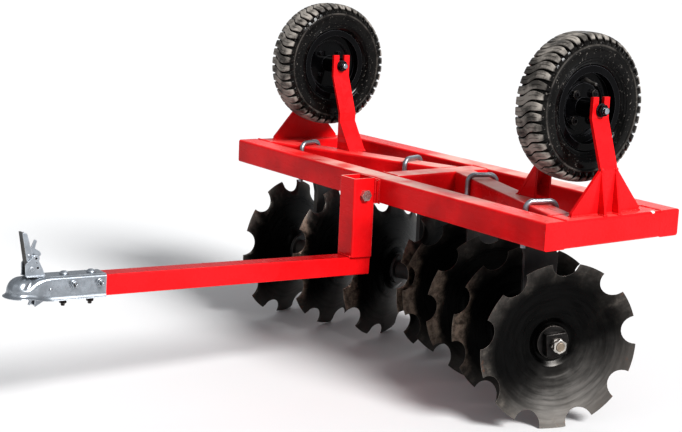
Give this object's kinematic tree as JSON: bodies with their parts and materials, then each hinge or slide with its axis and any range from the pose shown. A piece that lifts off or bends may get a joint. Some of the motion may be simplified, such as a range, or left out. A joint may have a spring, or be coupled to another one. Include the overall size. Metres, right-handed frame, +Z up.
{
  "type": "towed disc cultivator",
  "caption": "Towed disc cultivator: angled gangs of notched discs under a rectangular tube frame, transport wheels on top, low drawbar with a ball coupler",
  "frame": {"origin": "on the floor, below the middle of the overall length, on the middle plane", "axes": "+X forwards to the hitch, +Y to the machine's left, +Z up"},
  "size_m": [1.3636, 1.2, 0.858],
  "materials": {
    "red_paint": "glossy powder coat",
    "disc_steel": "dark tempered steel, lightly soiled",
    "black_steel": "satin black paint",
    "zinc": "bright zinc plating",
    "tyre": "matt rubber",
    "rim_black": "glossy black paint"
  },
  "bodies": {
    "frame": {"ball_clamp": "zinc", "centre_beam": "red_paint", "coupler_body": "zinc", "coupler_bolts": "zinc", "coupler_bracket": "zinc", "drawbar_post": "red_paint", "drawbar_tube": "red_paint", "front_rail": "red_paint", "left_end_rail": "red_paint", "left_gang_beam": "red_paint", "left_inner_arm": "red_paint", "left_inner_hanger": "black_steel", "left_outer_arm": "red_paint", "left_outer_hanger": "black_steel", "left_u_bolts": "zinc", "left_wheel_axle": "zinc", "post_bolt": "zinc", "post_plate": "red_paint", "rail_caps": "red_paint", "rear_rail": "red_paint", "right_end_rail": "red_paint", "right_gang_beam": "red_paint", "right_inner_arm": "red_paint", "right_inner_hanger": "black_steel", "right_outer_arm": "red_paint", "right_outer_hanger": "black_steel", "right_u_bolts": "zinc", "right_wheel_axle": "zinc"},
    "left_gang": {"left_disc_1": "disc_steel", "left_disc_2": "disc_steel", "left_disc_3": "disc_steel", "left_disc_4": "disc_steel", "left_gang_hub_nut": "zinc", "left_gang_shaft": "black_steel", "left_spools": "black_steel"},
    "left_wheel": {"left_tyre": "tyre", "left_rim": "rim_black"},
    "right_gang": {"right_disc_1": "disc_steel", "right_disc_2": "disc_steel", "right_disc_3": "disc_steel", "right_disc_4": "disc_steel", "right_gang_hub_nut": "zinc", "right_gang_shaft": "black_steel", "right_spools": "black_steel"},
    "right_wheel": {"right_tyre": "tyre", "right_rim": "rim_black"},
    "lever": {"coupler_lever": "zinc"}
  },
  "joints": [
    {"name": "left_gang_spin", "type": "hinge", "parent": "frame", "child": "left_gang", "pos_m": [-0.34875, 0.54, 0.185], "axis": [0.3156, 0.9489, 0], "continuous": true},
    {"name": "left_wheel_spin", "type": "hinge", "parent": "frame", "child": "left_wheel", "pos_m": [-0.41905, 0.4755, 0.696], "axis": [0, 1, 0], "continuous": true},
    {"name": "right_gang_spin", "type": "hinge", "parent": "frame", "child": "right_gang", "pos_m": [-0.34875, -0.54, 0.185], "axis": [0.3156, -0.9489, 0], "continuous": true},
    {"name": "right_wheel_spin", "type": "hinge", "parent": "frame", "child": "right_wheel", "pos_m": [-0.41905, -0.4755, 0.696], "axis": [0, 1, 0], "continuous": true},
    {"name": "lever_tilt", "type": "hinge", "parent": "frame", "child": "lever", "pos_m": [0.62659, 0, 0.34195], "axis": [0, -1, 0], "range_deg": [0, 75]}
  ]
}
